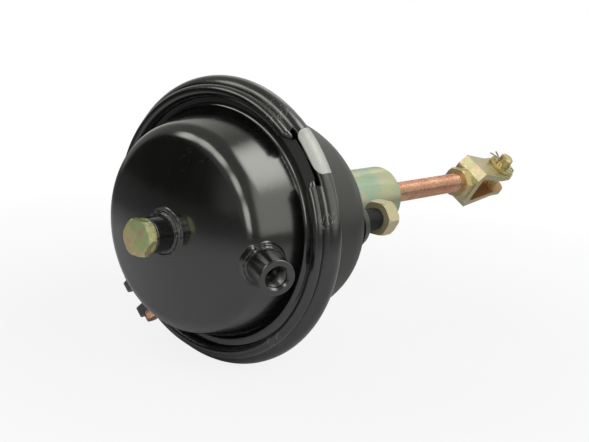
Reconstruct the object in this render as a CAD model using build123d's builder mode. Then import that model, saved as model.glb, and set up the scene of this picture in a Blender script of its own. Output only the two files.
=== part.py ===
"""Diaphragm air brake chamber: two pressed housings held by a clamp ring, a rubber diaphragm,
a sprung piston plate, and a push rod with a guide tube, jam nut, clevis and clevis pin.

Frame: millimetres. +X runs along the chamber's axis towards the push rod, the two mounting
studs lie along Y, and +Z is up. The origin is the centre of the mounting face.
"""

import os
from math import atan2, cos, degrees, radians, sin, tan

from build123d import *

os.makedirs("parts", exist_ok=True)

# Chamber, measured along X from the mounting face
CLAMP_R = 103.0             # outside of the clamp ring
SPLIT_X = -69.5             # middle plane of the diaphragm's bead
SHEET = 3.5                 # thickness of both pressed housings
BEAD = 4.0                  # thickness of the diaphragm's bead at the flanges' rims
FLANGE_R = 95.0             # rim of both housings
FLANGE_ROOT_R = 88.0
FLANGE_CONE = 20.5          # how far both flanges lean apart towards their roots, in degrees

# Pressure housing
CUP_FACE_X = -116.0         # edge of the cup's domed front face
CUP_DOME = 13.5             # how far the face bulges beyond its edge
CUP_BASE_R = 82.0
CUP_TOP_R = 71.0
CUP_CORNER_R = 18.0
CUP_FOOT_R = 4.0            # fillet from the cup's wall into the flange

# Ports: M16 x 1.5 threads in welded bosses
PORT_BORE_R = 7.25
PORT_CHAMFER = 1.3
PORT_DEPTH = 18.0           # threaded depth, with a narrower passage on into the cup
PASSAGE_R = 5.0
BOSS_R = 12.5
SPIGOT_R = 10.0             # reduced end of a boss, in its hole in the sheet
BOSS_EDGE = 1.0
CENTRE_BOSS_END_X = -146.5
PORT_TILT = 26.5            # side port's axis, from the radius towards the front
PORT_TURN = 8.0             # side port's axis, below the near stud
PORT_FOOT_X = -108.6        # where the side port's axis leaves the cup
PORT_FOOT_R = 74.4
PORT_REACH = 21.3           # from there to the boss's end face
CENTRE_WELD_R = 17.6
SIDE_WELD_R = 16.2
WELD_HEIGHT = 2.6

# Plug in the centre port
PLUG_AF = 24.0
PLUG_HEAD = 6.0
PLUG_FLANGE_R = 12.6
PLUG_FLANGE = 1.5
PLUG_SHANK = 10.0
SEAL_R = 11.5
SEAL = 1.0

# Non-pressure housing
BOWL_BASE_R = 87.5
FACE_ALONG = 86.0           # half axes of its oval front, along and across the studs
FACE_ACROSS = 67.0
BOWL_CORNER_R = 30.0
ROD_HOLE_R = 29.0
PAD_R = 17.0                # raised flats round the mounting studs
PAD_DEPTH = 10.0
PAD_DRAFT = 20.0
VENT_R = 4.0
VENT_CIRCLE_R = 48.0

# Mounting studs, M16 x 1.5
STUD_SPACING = 120.65
STUD_R = 8.0
STUD_NECK_R = 8.3           # ribbed neck pressed into the housing
THREAD_R = 7.35             # effective radius of an M16 thread
SHANK = 28.0                # plain length before the thread
STUD_LENGTH = 44.0
STUD_HEAD_R = 12.0
STUD_HEAD = 6.0
NUT_AF = 24.0
NUT_HEIGHT = 13.0
NUT_X = 28.5

# Clamp ring
RING_SHEET = 3.0
RING_CORNER_R = 7.8
BEAD_R = 4.2                # rolled bead round the ring's front
BEAD_MIDDLE_R = 93.0
BEAD_MIDDLE_X = -79.5
RING_MOUTH_R = 89.0
LUG_TURN = 137.2            # lugs, from the near stud downwards
LUG_THICK = 7.0
LUG_REACH = 12.0
LUG_WIDTH = 20.0
RING_GAP = 15.0
RELIEF_TURN = -37.8         # flexible relief opposite the lugs
RELIEF_SPAN = 33.0
RELIEF_BACK_X = -67.0
TONGUE_R = 7.0
TONGUE_MIDDLE_R = 96.0
CLAMP_BOLT_R = 4.0
CLAMP_BOLT_OUT = 5.0        # bolt's axis beyond the ring's outside
CLAMP_BOLT_AF = 12.0
CLAMP_BOLT_HEAD = 5.3
CLAMP_BOLT_LENGTH = 41.0
CLAMP_NUT = 6.5

# Diaphragm
RUBBER = 3.0
DIAPHRAGM_GAP = 1.0         # between the rubber and the cup's wall

# Piston, rod and tube
PLATE_R = 64.0
PLATE_SHEET = 4.0
PLATE_RIM = 24.0
PLATE_CORNER_R = 18.0
PLATE_GAP = 0.3             # between the plate and the diaphragm
PIVOT_X = -91.5             # centre of the rod's ball in the piston plate
BALL_R = 12.0
SOCKET_GAP = 0.3
SOCKET_R = 18.0
SOCKET_END_X = -87.5
SOCKET_CHAMFER = 2.0
DROOP = 1.156               # rod's angle below the chamber's axis at rest
ROD_R = 8.0
ROD_END_X = 250.0
TUBE_R = 23.8
TUBE_WALL = 2.5
TUBE_START_X = -78.0
TUBE_END_X = 112.5
TUBE_CAP = 5.0
DUST_RING_R = 33.0
DUST_RING_BORE_R = 26.8
DUST_RING = 3.0
DUST_RING_EDGE = 0.8

# Jam nut, clevis and pin
JAM_NUT_X = 228.5
JAM_NUT_AF = 24.0
JAM_NUT_HEIGHT = 11.0
CLEVIS_TURN = 32.5          # pin's axis, from upright towards the near stud
CLEVIS_START_X = 239.5
CLEVIS_HALF_WIDTH = 13.1
CLEVIS_BACK = 10.5          # half height of the flat back
SHOULDER_X = 245.0          # widest place across the ears
SHOULDER_OUT = 19.4
SLOT_START_X = 247.5
SLOT_WIDE = 13.0            # half the slot at its base
EAR_START_X = 283.0         # ears run parallel from here
EAR_OUT = 11.1
EAR_IN = 6.5
SHOULDER_CORNER_R = 7.5
EAR_BEND_R = 12.0
SLOT_CORNER_R = 3.0
PIN_X = 294.0
PIN_R = 6.0
PIN_CLEARANCE = 0.05
PIN_HEAD_R = 8.5
PIN_HEAD = 4.0
PIN_END = 23.3              # pin's free end, from the rod's axis
PIN_CHAMFER = 1.5
WASHER_R = 12.0
WASHER = 2.5
EAR_GAP = 0.3               # between an ear and the pin's head or washer
COTTER_HEIGHT = 16.5        # cotter's axis, from the rod's axis
COTTER_R = 1.5
COTTER_LEG_R = 0.7
COTTER_EYE_R = 2.6
COTTER_REACH = 14.5
COTTER_SPLAY = 5.0

# Return spring
WIRE_R = 2.4
SPRING_PLATE_R = 34.0
SPRING_BOWL_R = 40.0
SPRING_TURNS = 5.0

NEAR = Vector(0, -1, 0)     # from the axis towards the near stud
AXIS_X = Vector(1, 0, 0)


def hexagon_radius(across_flats):
    """Corner radius of a hexagon of this size."""
    return across_flats / 2 / cos(radians(30))


def radial(turn):
    """Unit vector across the axis, turned from the near stud downwards."""
    return Vector(0, -cos(radians(turn)), -sin(radians(turn)))


def polar(radius, turn):
    """Point in a plane across the axis, turned from the near stud downwards."""
    return radius * cos(radians(turn)), radius * sin(radians(turn))


def across(x):
    """Plane across the chamber's axis at x, facing +X, with the studs along its first axis."""
    return Plane(origin=(x, 0, 0), x_dir=NEAR, z_dir=AXIS_X)


# The rod, tube and clevis hang a little below the axis from the ball in the piston plate
PIVOT = Vector(PIVOT_X, 0, 0)
ROD_DIR = Vector(cos(radians(DROOP)), 0, -sin(radians(DROOP)))
ROD_UP = Vector(sin(radians(DROOP)), 0, cos(radians(DROOP)))
PIN_DIR = ROD_UP * cos(radians(CLEVIS_TURN)) + NEAR * sin(radians(CLEVIS_TURN))
EAR_DIR = ROD_DIR.cross(PIN_DIR)


def on_rod(x):
    """Point on the rod's axis at station x."""
    return PIVOT + ROD_DIR * (x - PIVOT_X)


def across_rod(x):
    """Plane square to the rod at station x, facing the clevis, with the pin's direction first."""
    return Plane(origin=on_rod(x), x_dir=PIN_DIR, z_dir=ROD_DIR)


def across_pin(height):
    """Plane square to the clevis pin, this far from the rod's axis."""
    return Plane(origin=on_rod(PIN_X) + PIN_DIR * height, x_dir=ROD_DIR, z_dir=PIN_DIR)


def finish(part, name):
    """Label a finished piece and write it."""
    part.label = name
    export_step(part, f"parts/{name}.step")


def revolved(points, corners=()):
    """Solid turned about X from an (x, radius) outline; corners lists (x, radius, fillet)."""
    with BuildPart() as turned:
        with BuildSketch(Plane.XY) as outline:
            with BuildLine():
                Polyline(*points, close=True)
            make_face()
            for x, radius, size in corners:
                fillet(outline.vertices().sort_by_distance((x, radius, 0))[0], size)
        revolve(axis=Axis.X)
    return turned.part


def hexagon(plane, across_flats, height, turned_ends, bore_r=0):
    """Hexagon on a plane, turned to 30 degrees at the ends listed (0 is the plane's end)."""
    corner_r = hexagon_radius(across_flats)
    bevel = corner_r - across_flats / 2 * 0.96
    with BuildPart() as blank:
        with BuildSketch(plane):
            Circle(corner_r)
        extrude(amount=height)
        ends = blank.faces().filter_by(Plane(plane.origin, z_dir=plane.z_dir))
        ends = ends.sort_by(lambda f: (f.center() - plane.origin).dot(plane.z_dir))
        for end in turned_ends:
            chamfer(ends[end].edges(), length=bevel * tan(radians(30)), length2=bevel,
                    reference=ends[end])
    with BuildPart() as nut:
        with BuildSketch(plane):
            RegularPolygon(corner_r, 6)
        extrude(amount=height)
        add(blank.part, mode=Mode.INTERSECT)
        if bore_r:
            with BuildSketch(plane):
                Circle(bore_r)
            extrude(amount=height, mode=Mode.SUBTRACT)
    return nut.part


# ---------------------------------------------------------------- pressure housing
flange_run = (FLANGE_R - FLANGE_ROOT_R) * tan(radians(FLANGE_CONE))
rim_x = SPLIT_X - BEAD / 2              # inner face of the front flange at its rim
root_x = rim_x - flange_run
CUP_BULGE_R = (CUP_TOP_R**2 + CUP_DOME**2) / 2 / CUP_DOME


def cup_blank(back_x, inset):
    """Solid cup with its domed face, taken in from the outside by an inset."""
    edge = (CUP_FACE_X + inset, CUP_TOP_R - inset)
    with BuildPart() as blank:
        with BuildSketch(Plane.XY) as outline:
            with BuildLine():
                Polyline(edge, (root_x - SHEET, CUP_BASE_R - inset), (back_x, CUP_BASE_R - inset),
                         (back_x, 0), (CUP_FACE_X - CUP_DOME + inset, 0))
                RadiusArc((CUP_FACE_X - CUP_DOME + inset, 0), edge, CUP_BULGE_R - inset)
            make_face()
            fillet(outline.vertices().sort_by_distance((*edge, 0))[0], CUP_CORNER_R - inset)
        revolve(axis=Axis.X)
    return blank.part


flange_blank = revolved(
    [
        (rim_x, FLANGE_R),
        (rim_x - SHEET, FLANGE_R),
        (root_x - SHEET, FLANGE_ROOT_R),
        (root_x - SHEET, 0),
        (root_x, 0),
        (root_x, FLANGE_ROOT_R),
    ],
)
with BuildPart() as cup_outside:
    add(cup_blank(root_x, 0))
    add(flange_blank)
    foot = cup_outside.edges().filter_by(GeomType.CIRCLE)
    foot = foot.filter_by(lambda e: abs(e.radius - CUP_BASE_R) < 0.01)
    fillet(foot.sort_by(Axis.X)[0], CUP_FOOT_R)
cup_solid = cup_outside.part
cup_cavity = cup_blank(root_x, SHEET)

CENTRE_PORT = Plane(origin=(CENTRE_BOSS_END_X, 0, 0), x_dir=NEAR, z_dir=(-1, 0, 0))
port_dir = radial(PORT_TURN) * cos(radians(PORT_TILT)) - AXIS_X * sin(radians(PORT_TILT))
port_foot = radial(PORT_TURN) * PORT_FOOT_R + AXIS_X * PORT_FOOT_X
SIDE_PORT = Plane(origin=port_foot + port_dir * PORT_REACH, x_dir=(1, 0, 0), z_dir=port_dir)
CENTRE_REACH = CUP_FACE_X - CUP_DOME - CENTRE_BOSS_END_X
BOSS_ROOT = 12.0                        # how far a boss's blank runs on past the cup's surface

with BuildPart() as pressure_housing:
    add(cup_solid)
    add(cup_cavity, mode=Mode.SUBTRACT)
    for port, reach in ((CENTRE_PORT, CENTRE_REACH), (SIDE_PORT, PORT_REACH)):
        with BuildSketch(port):
            Circle(SPIGOT_R)
        extrude(amount=-reach - BOSS_ROOT, mode=Mode.SUBTRACT)
finish(pressure_housing.part, "pressure_housing")


def port_boss(port, reach):
    """Turned boss, threaded through, standing on the cup with its spigot in the sheet."""
    with BuildPart() as boss:
        with BuildSketch(port):
            Circle(BOSS_R)
        extrude(amount=-reach - BOSS_ROOT)
        fillet(boss.edges().filter_by(GeomType.CIRCLE).sort_by_distance(port.origin)[0], BOSS_EDGE)
        add(cup_solid, mode=Mode.SUBTRACT)
        with BuildSketch(port.offset(-reach / 2)):
            Circle(SPIGOT_R)
        extrude(amount=-reach / 2 - BOSS_ROOT)
        add(cup_cavity, mode=Mode.SUBTRACT)
        with BuildSketch(port):
            Circle(PORT_BORE_R)
        extrude(amount=-PORT_DEPTH, mode=Mode.SUBTRACT)
        with BuildSketch(port):
            Circle(PASSAGE_R)
        extrude(amount=-reach - BOSS_ROOT, mode=Mode.SUBTRACT)
        mouth = boss.edges().filter_by(GeomType.CIRCLE).sort_by_distance(port.origin)[0]
        chamfer(mouth, PORT_CHAMFER)
    return boss.part


centre_port_boss = port_boss(CENTRE_PORT, CENTRE_REACH)
side_port_boss = port_boss(SIDE_PORT, PORT_REACH)
finish(centre_port_boss, "centre_port_boss")
finish(side_port_boss, "side_port_boss")

with BuildPart() as port_welds:
    for port, reach, weld_r in (
        (CENTRE_PORT, CENTRE_REACH, CENTRE_WELD_R),
        (SIDE_PORT, PORT_REACH, SIDE_WELD_R),
    ):
        with BuildSketch(port.offset(-reach - BOSS_ROOT)):
            Circle(weld_r)
            Circle(BOSS_R, mode=Mode.SUBTRACT)
        extrude(amount=BOSS_ROOT + WELD_HEIGHT)
    tops = port_welds.edges().filter_by(GeomType.CIRCLE)
    for port, reach in ((CENTRE_PORT, CENTRE_REACH), (SIDE_PORT, PORT_REACH)):
        crest = port.offset(-reach + WELD_HEIGHT)
        rims = tops.filter_by(lambda e: (e.arc_center - crest.origin).length < 0.1)
        fillet(rims.filter_by(lambda e: e.radius > BOSS_R + 1), WELD_HEIGHT)
    add(cup_solid, mode=Mode.SUBTRACT)
finish(port_welds.part, "port_welds")

# ---------------------------------------------------------------- plug in the centre port
plug_seat = CENTRE_PORT.offset(SEAL)
with BuildPart() as plug_washer:
    with BuildSketch(CENTRE_PORT):
        Circle(SEAL_R)
        Circle(PORT_BORE_R + PORT_CHAMFER, mode=Mode.SUBTRACT)
    extrude(amount=SEAL)
finish(plug_washer.part, "plug_washer")

with BuildPart() as plug_bolt:
    with BuildSketch(plug_seat):
        Circle(PLUG_FLANGE_R)
    extrude(amount=PLUG_FLANGE)
    add(hexagon(plug_seat.offset(PLUG_FLANGE), PLUG_AF, PLUG_HEAD, (1,)))
    with BuildSketch(plug_seat):
        Circle(PORT_BORE_R)
    extrude(amount=-SEAL - PLUG_SHANK)
    tip = plug_bolt.edges().filter_by(GeomType.CIRCLE).sort_by(Axis.X)[-1]
    chamfer(tip, PORT_CHAMFER)
finish(plug_bolt.part, "plug_bolt")

# ---------------------------------------------------------------- non-pressure housing
back_rim_x = SPLIT_X + BEAD / 2
back_root_x = back_rim_x + flange_run
back_flange = revolved(
    [
        (back_rim_x, FLANGE_R),
        (back_rim_x + SHEET, FLANGE_R),
        (back_root_x + SHEET, FLANGE_ROOT_R),
        (back_root_x + SHEET, 0),
        (back_root_x, 0),
        (back_root_x, FLANGE_ROOT_R),
    ],
)


def bowl_blank(face_x, inset):
    """Solid bowl, round at the flange and oval at the mounting face, taken in by an inset."""
    with BuildPart() as blank:
        with BuildSketch(across(back_root_x)):
            Circle(BOWL_BASE_R - inset)
        with BuildSketch(across(face_x)):
            Ellipse(FACE_ALONG - inset, FACE_ACROSS - inset)
        loft()
        fillet(blank.faces().sort_by(Axis.X)[-1].edges(), BOWL_CORNER_R - inset)
    return blank.part


bowl_cavity = bowl_blank(-SHEET, SHEET)
stud_places = GridLocations(STUD_SPACING, 1, 2, 1)

with BuildPart() as non_pressure_housing:
    add(bowl_blank(0, 0))
    add(back_flange)
    with BuildSketch(across(0)):
        with stud_places:
            Circle(PAD_R)
    extrude(amount=-PAD_DEPTH, taper=-PAD_DRAFT)
    add(bowl_cavity, mode=Mode.SUBTRACT)
    with BuildSketch(across(-SHEET)):
        with stud_places:
            Circle(PAD_R - SHEET)
    extrude(amount=-PAD_DEPTH, taper=-PAD_DRAFT, mode=Mode.SUBTRACT)
    with BuildSketch(across(0)):
        Circle(ROD_HOLE_R)
        with stud_places:
            Circle(STUD_NECK_R)
        with PolarLocations(VENT_CIRCLE_R, 4, start_angle=45):
            Circle(VENT_R)
    extrude(amount=-2 * SHEET, mode=Mode.SUBTRACT)
finish(non_pressure_housing.part, "non_pressure_housing")

# Length and radius of each stretch of a stud, from its head outwards
stud_stretches = ((-STUD_HEAD, STUD_HEAD_R), (SHEET, STUD_NECK_R), (SHEET + SHANK, STUD_R),
                  (SHEET + STUD_LENGTH, THREAD_R))
with BuildPart() as mounting_studs:
    for length, radius in stud_stretches:
        with BuildSketch(across(-SHEET)):
            with stud_places:
                Circle(radius)
        extrude(amount=length)
    chamfer(mounting_studs.faces().sort_by(Axis.X)[-2:].edges(), PORT_CHAMFER)
finish(mounting_studs.part, "mounting_studs")

with BuildPart() as stud_nuts:
    for side in (1, -1):
        nut_plane = Plane(origin=NEAR * (side * STUD_SPACING / 2) + AXIS_X * NUT_X,
                          x_dir=NEAR, z_dir=AXIS_X)
        add(hexagon(nut_plane, NUT_AF, NUT_HEIGHT, (0, 1), THREAD_R))
finish(stud_nuts.part, "stud_nuts")

with BuildPart() as dust_ring:
    with BuildSketch(across(-SHEET)):
        Circle(ROD_HOLE_R)
    extrude(amount=SHEET + DUST_RING)
    with BuildSketch(across(-SHEET)):
        Circle(DUST_RING_R)
    extrude(amount=-DUST_RING)
    with BuildSketch(across(-SHEET - DUST_RING)):
        Circle(DUST_RING_BORE_R)
    extrude(amount=SHEET + 2 * DUST_RING, mode=Mode.SUBTRACT)
    fillet(dust_ring.faces().sort_by(Axis.X)[-1].edges(), DUST_RING_EDGE)
finish(dust_ring.part, "dust_ring")

# ---------------------------------------------------------------- clamp ring
# The ring's sloping walls follow the outsides of both flanges
def ring_half_width(radius, inset):
    """Half the ring's width at a radius, taken in from its outer walls by an axial inset."""
    return CREST_HALF + (CLAMP_R - radius) * tan(radians(FLANGE_CONE)) - inset


SHEET_ACROSS = RING_SHEET / cos(radians(FLANGE_CONE))
CREST_HALF = BEAD / 2 + SHEET + SHEET_ACROSS - (CLAMP_R - FLANGE_R) * tan(radians(FLANGE_CONE))


def ring_body(top_r, mouth_r, inset, corner_r):
    """Solid ring with the channel's sloping sides."""
    top = ring_half_width(top_r, inset)
    mouth = ring_half_width(mouth_r, inset)
    return revolved(
        [
            (SPLIT_X - mouth, mouth_r),
            (SPLIT_X - top, top_r),
            (SPLIT_X + top, top_r),
            (SPLIT_X + mouth, mouth_r),
        ],
        [(SPLIT_X - top, top_r, corner_r), (SPLIT_X + top, top_r, corner_r)],
    )


lug_dir = radial(LUG_TURN)
lug_side = AXIS_X.cross(lug_dir)        # along the ring where its ends meet
LUG_PLANE = Plane(origin=AXIS_X * SPLIT_X + lug_dir * CLAMP_R, x_dir=AXIS_X, z_dir=lug_side)

with BuildPart() as clamp_ring:
    with BuildSketch(LUG_PLANE):
        with Locations((0, LUG_REACH / 2 - RING_SHEET)):
            RectangleRounded(LUG_WIDTH, LUG_REACH + 2 * RING_SHEET, LUG_WIDTH * 0.3)
    extrude(amount=RING_GAP / 2 + LUG_THICK, both=True)
    add(ring_body(CLAMP_R, RING_MOUTH_R, 0, RING_CORNER_R))
    with BuildSketch(Plane.XY):
        with Locations((BEAD_MIDDLE_X, BEAD_MIDDLE_R)):
            Circle(BEAD_R)
    revolve(axis=Axis.X)
    add(ring_body(CLAMP_R - RING_SHEET, RING_MOUTH_R - RING_SHEET, SHEET_ACROSS,
                  RING_CORNER_R - RING_SHEET), mode=Mode.SUBTRACT)
    with BuildSketch(LUG_PLANE):
        Rectangle(2 * LUG_WIDTH, 4 * LUG_REACH)
    extrude(amount=RING_GAP / 2, both=True, mode=Mode.SUBTRACT)
    with BuildSketch(LUG_PLANE.offset(-RING_GAP / 2 - LUG_THICK)):
        with Locations((0, CLAMP_BOLT_OUT)):
            Circle(CLAMP_BOLT_R)
    extrude(amount=RING_GAP + 2 * LUG_THICK, mode=Mode.SUBTRACT)
    with BuildSketch(across(RELIEF_BACK_X)):
        Polygon((0, 0), polar(2 * CLAMP_R, RELIEF_TURN - RELIEF_SPAN / 2),
                polar(2 * CLAMP_R, RELIEF_TURN + RELIEF_SPAN / 2), align=None)
        Circle(RING_MOUTH_R - 2 * RING_SHEET, mode=Mode.SUBTRACT)
        for end in (-1, 1):
            with Locations(polar(TONGUE_MIDDLE_R, RELIEF_TURN + end * RELIEF_SPAN / 2)):
                Circle(TONGUE_R, mode=Mode.SUBTRACT)
    extrude(amount=-LUG_WIDTH, mode=Mode.SUBTRACT)
finish(clamp_ring.part, "clamp_ring")

bolt_seat = RING_GAP / 2 + LUG_THICK
bolt_axis = LUG_PLANE.origin + lug_dir * CLAMP_BOLT_OUT
bolt_head_plane = Plane(origin=bolt_axis - lug_side * bolt_seat, x_dir=AXIS_X, z_dir=-lug_side)
bolt_nut_plane = Plane(origin=bolt_axis + lug_side * bolt_seat, x_dir=AXIS_X, z_dir=lug_side)

with BuildPart() as clamp_bolt:
    add(hexagon(bolt_head_plane, CLAMP_BOLT_AF, CLAMP_BOLT_HEAD, (1,)))
    with BuildSketch(bolt_head_plane):
        Circle(CLAMP_BOLT_R)
    extrude(amount=-CLAMP_BOLT_LENGTH)
finish(clamp_bolt.part, "clamp_bolt")

clamp_nut = hexagon(bolt_nut_plane, CLAMP_BOLT_AF, CLAMP_NUT, (1,), CLAMP_BOLT_R)
finish(clamp_nut, "clamp_nut")

# ---------------------------------------------------------------- diaphragm
DIAPHRAGM_OUT = SHEET + DIAPHRAGM_GAP   # its outside, inwards from the cup's outside
DIAPHRAGM_IN = DIAPHRAGM_OUT + RUBBER
DIAPHRAGM_CORNER_R = CUP_CORNER_R - DIAPHRAGM_OUT
wall_lean = (CUP_BASE_R - CUP_TOP_R) / (root_x - SHEET - CUP_FACE_X)
DIAPHRAGM_FACE_X = CUP_FACE_X + DIAPHRAGM_OUT


def cup_radius(x):
    """Radius of the cup's straight wall at x."""
    return CUP_TOP_R + wall_lean * (x - CUP_FACE_X)


diaphragm = revolved(
    [
        (rim_x, FLANGE_R),
        (root_x, FLANGE_ROOT_R),
        (root_x, cup_radius(root_x) - DIAPHRAGM_OUT),
        (DIAPHRAGM_FACE_X, cup_radius(DIAPHRAGM_FACE_X) - DIAPHRAGM_OUT),
        (DIAPHRAGM_FACE_X, 0),
        (DIAPHRAGM_FACE_X + RUBBER, 0),
        (DIAPHRAGM_FACE_X + RUBBER, cup_radius(DIAPHRAGM_FACE_X) - DIAPHRAGM_IN),
        (root_x, cup_radius(root_x) - DIAPHRAGM_IN),
        (back_root_x, cup_radius(root_x) - DIAPHRAGM_IN),
        (back_root_x, FLANGE_ROOT_R),
        (back_rim_x, FLANGE_R),
    ],
    [
        (DIAPHRAGM_FACE_X, cup_radius(DIAPHRAGM_FACE_X) - DIAPHRAGM_OUT, DIAPHRAGM_CORNER_R),
        (DIAPHRAGM_FACE_X + RUBBER, cup_radius(DIAPHRAGM_FACE_X) - DIAPHRAGM_IN,
         DIAPHRAGM_CORNER_R - RUBBER),
    ],
)
finish(diaphragm, "diaphragm")

# ---------------------------------------------------------------- piston
PLATE_X = DIAPHRAGM_FACE_X + RUBBER + PLATE_GAP
plate_back_x = PLATE_X + PLATE_SHEET
piston_plate = revolved(
    [
        (PLATE_X, 0),
        (PLATE_X, PLATE_R),
        (PLATE_X + PLATE_RIM, PLATE_R),
        (PLATE_X + PLATE_RIM, PLATE_R - PLATE_SHEET),
        (plate_back_x, PLATE_R - PLATE_SHEET),
        (plate_back_x, 0),
    ],
    [
        (PLATE_X, PLATE_R, PLATE_CORNER_R),
        (plate_back_x, PLATE_R - PLATE_SHEET, PLATE_CORNER_R - PLATE_SHEET),
    ],
)
finish(piston_plate, "piston_plate")

with BuildPart() as rod_socket:
    with BuildSketch(across(plate_back_x)):
        Circle(SOCKET_R)
    extrude(amount=SOCKET_END_X - plate_back_x)
    chamfer(rod_socket.faces().sort_by(Axis.X)[-1].edges(), SOCKET_CHAMFER)
    with Locations(PIVOT):
        Sphere(BALL_R + SOCKET_GAP, mode=Mode.SUBTRACT)
finish(rod_socket.part, "rod_socket")

# ---------------------------------------------------------------- return spring
spring_start_x = plate_back_x + WIRE_R
spring_length = -SHEET - WIRE_R - spring_start_x
spring_cone = degrees(atan2(SPRING_BOWL_R - SPRING_PLATE_R, spring_length))
with BuildPart() as return_spring:
    with BuildLine() as wire:
        Helix(spring_length / SPRING_TURNS, spring_length, SPRING_PLATE_R,
              center=(spring_start_x, 0, 0), direction=AXIS_X, cone_angle=spring_cone)
    with BuildSketch(Plane(origin=wire.line @ 0, z_dir=wire.line % 0)):
        RegularPolygon(WIRE_R, 8)
    sweep(is_frenet=True)
finish(return_spring.part, "return_spring")

# ---------------------------------------------------------------- push rod and guide tube
with BuildPart() as push_rod:
    with Locations(PIVOT):
        Sphere(BALL_R)
    with BuildSketch(across_rod(PIVOT_X)):
        Circle(ROD_R)
    extrude(amount=ROD_END_X - PIVOT_X)
    rod_tip = push_rod.edges().filter_by(GeomType.CIRCLE).sort_by_distance(on_rod(ROD_END_X))[0]
    chamfer(rod_tip, PORT_CHAMFER)
finish(push_rod.part, "push_rod")

with BuildPart() as guide_tube:
    with BuildSketch(across_rod(TUBE_START_X)):
        Circle(TUBE_R)
        Circle(TUBE_R - TUBE_WALL, mode=Mode.SUBTRACT)
    extrude(amount=TUBE_END_X - TUBE_START_X)
finish(guide_tube.part, "guide_tube")

with BuildPart() as tube_caps:
    for start_x in (TUBE_START_X, TUBE_END_X - TUBE_CAP):
        with BuildSketch(across_rod(start_x)):
            Circle(TUBE_R - TUBE_WALL)
            Circle(ROD_R, mode=Mode.SUBTRACT)
        extrude(amount=TUBE_CAP)
finish(tube_caps.part, "tube_caps")

jam_nut = hexagon(across_rod(JAM_NUT_X), JAM_NUT_AF, JAM_NUT_HEIGHT, (0, 1), ROD_R)
finish(jam_nut, "jam_nut")

# ---------------------------------------------------------------- clevis
# Half of its outline in the plane of the rod and the pin: station x, height from the axis
outer_half = [
    (CLEVIS_START_X, CLEVIS_BACK),
    (SHOULDER_X, SHOULDER_OUT),
    (EAR_START_X, EAR_OUT),
    (PIN_X + CLEVIS_HALF_WIDTH, EAR_OUT),
]
slot_half = [
    (SLOT_START_X, SLOT_WIDE),
    (EAR_START_X, EAR_IN),
    (PIN_X + 2 * CLEVIS_HALF_WIDTH, EAR_IN),
]
CLEVIS_PROFILE = Plane(origin=on_rod(0), x_dir=ROD_DIR, z_dir=-EAR_DIR)
EAR_PLANE = Plane(origin=on_rod(0), x_dir=ROD_DIR, z_dir=PIN_DIR)


def mirrored(half):
    """Closed outline from the half above the rod's axis."""
    return half + [(x, -height) for x, height in reversed(half)]


with BuildPart() as clevis:
    with BuildSketch(CLEVIS_PROFILE) as side_view:
        Polygon(*mirrored(outer_half), align=None)
        for x, height, size in ((SHOULDER_X, SHOULDER_OUT, SHOULDER_CORNER_R),
                                (EAR_START_X, EAR_OUT, EAR_BEND_R)):
            for side in (1, -1):
                corner = CLEVIS_PROFILE.from_local_coords((x, side * height))
                fillet(side_view.vertices().sort_by_distance(corner)[0], size)
    extrude(amount=CLEVIS_HALF_WIDTH, both=True)
    with BuildSketch(CLEVIS_PROFILE) as slot:
        Polygon(*mirrored(slot_half), align=None)
        for side in (1, -1):
            corner = CLEVIS_PROFILE.from_local_coords((SLOT_START_X, side * SLOT_WIDE))
            fillet(slot.vertices().sort_by_distance(corner)[0], SLOT_CORNER_R)
    extrude(amount=CLEVIS_HALF_WIDTH, both=True, mode=Mode.SUBTRACT)
    with BuildSketch(EAR_PLANE):
        with Locations((PIN_X, 0)):
            Circle(CLEVIS_HALF_WIDTH)
            Rectangle(2 * (PIN_X - CLEVIS_START_X), 2 * CLEVIS_HALF_WIDTH)
            with Locations((CLEVIS_HALF_WIDTH, 0)):
                Rectangle(2 * CLEVIS_HALF_WIDTH, 2 * CLEVIS_HALF_WIDTH, mode=Mode.SUBTRACT)
            Circle(CLEVIS_HALF_WIDTH)
            Circle(PIN_R + PIN_CLEARANCE, mode=Mode.SUBTRACT)
    extrude(amount=SHOULDER_OUT, both=True, mode=Mode.INTERSECT)
    with BuildSketch(across_rod(CLEVIS_START_X)):
        Circle(ROD_R)
    extrude(amount=SLOT_START_X - CLEVIS_START_X, mode=Mode.SUBTRACT)
finish(clevis.part, "clevis")

# ---------------------------------------------------------------- clevis pin
with BuildPart() as clevis_pin:
    with BuildSketch(across_pin(-EAR_OUT - EAR_GAP - PIN_HEAD)):
        Circle(PIN_HEAD_R)
    extrude(amount=PIN_HEAD)
    with BuildSketch(across_pin(-EAR_OUT - EAR_GAP)):
        Circle(PIN_R)
    extrude(amount=EAR_OUT + EAR_GAP + PIN_END)
    pin_tip = clevis_pin.edges().filter_by(GeomType.CIRCLE)
    pin_tip = pin_tip.sort_by_distance(across_pin(PIN_END).origin)[0]
    chamfer(pin_tip, PIN_CHAMFER)
    with BuildSketch(Plane(across_pin(COTTER_HEIGHT).origin, x_dir=ROD_DIR, z_dir=EAR_DIR)):
        Circle(COTTER_R)
    extrude(amount=2 * PIN_R, both=True, mode=Mode.SUBTRACT)
finish(clevis_pin.part, "clevis_pin")

with BuildPart() as pin_washer:
    with BuildSketch(across_pin(EAR_OUT + EAR_GAP)):
        Circle(WASHER_R)
        Circle(PIN_R + PIN_CLEARANCE, mode=Mode.SUBTRACT)
    extrude(amount=WASHER)
finish(pin_washer.part, "pin_washer")

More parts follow.
